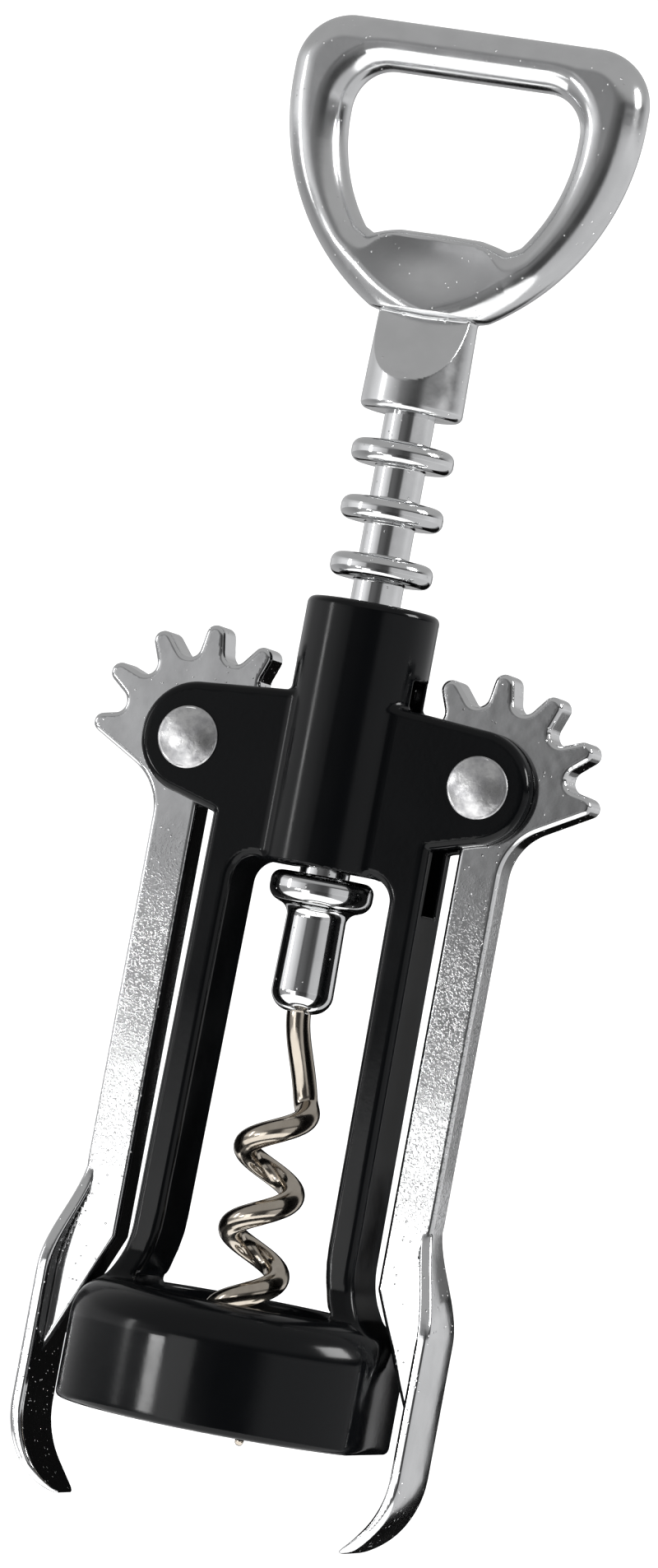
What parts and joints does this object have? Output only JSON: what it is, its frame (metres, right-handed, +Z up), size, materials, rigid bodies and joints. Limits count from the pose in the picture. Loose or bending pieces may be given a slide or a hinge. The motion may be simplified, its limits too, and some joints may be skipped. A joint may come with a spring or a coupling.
{
  "type": "lever corkscrew",
  "caption": "Lever corkscrew: two geared wings drive a ringed rack rod with a helical worm through a bell-footed frame, under a ring handle that opens caps.",
  "frame": {"origin": "centre of the flat seat inside the bell that the bottle's lip stops against, on the worm's axis", "axes": "+Z up along the worm's axis to the ring handle, -Y the front face, +X the right-hand lever"},
  "size_m": [0.0644, 0.0416, 0.1844],
  "materials": {
    "black_plastic": "gloss moulded",
    "chromed_zinc": "bright chrome over a slightly pitted casting",
    "nickel_steel": "nickel-plated wire",
    "aluminium": "satin"
  },
  "bodies": {
    "body": {"frame": "black_plastic", "rivet_left_male": "aluminium", "rivet_left_female": "aluminium", "rivet_right_male": "aluminium", "rivet_right_female": "aluminium"},
    "lever_left": {"lever_left": "chromed_zinc"},
    "lever_right": {"lever_right": "chromed_zinc"},
    "rack": {"rack_rod": "chromed_zinc"},
    "spindle": {"handle": "chromed_zinc", "worm_holder": "chromed_zinc", "worm": "nickel_steel"}
  },
  "joints": [
    {"name": "lever_left_hinge", "type": "hinge", "parent": "body", "child": "lever_left", "pos_m": [-0.0187, 0, 0.069], "axis": [0, 1, 0], "range_deg": [0, 99]},
    {"name": "lever_right_hinge", "type": "hinge", "parent": "body", "child": "lever_right", "pos_m": [0.0187, 0, 0.069], "axis": [0, -1, 0], "range_deg": [0, 99.1]},
    {"name": "rack_slide", "type": "slide", "parent": "body", "child": "rack", "axis": [0, 0, -1], "range_m": [0, 0.02325]},
    {"name": "handle_spin", "type": "hinge", "parent": "rack", "child": "spindle", "pos_m": [0, 0, 0.1], "axis": [0, 0, 1], "continuous": true}
  ],
  "couplings": [
    {"joint": "lever_right_hinge", "follows": "lever_left_hinge", "ratio": 1},
    {"joint": "rack_slide", "follows": "lever_left_hinge", "m_per_rad": 0.01343}
  ]
}
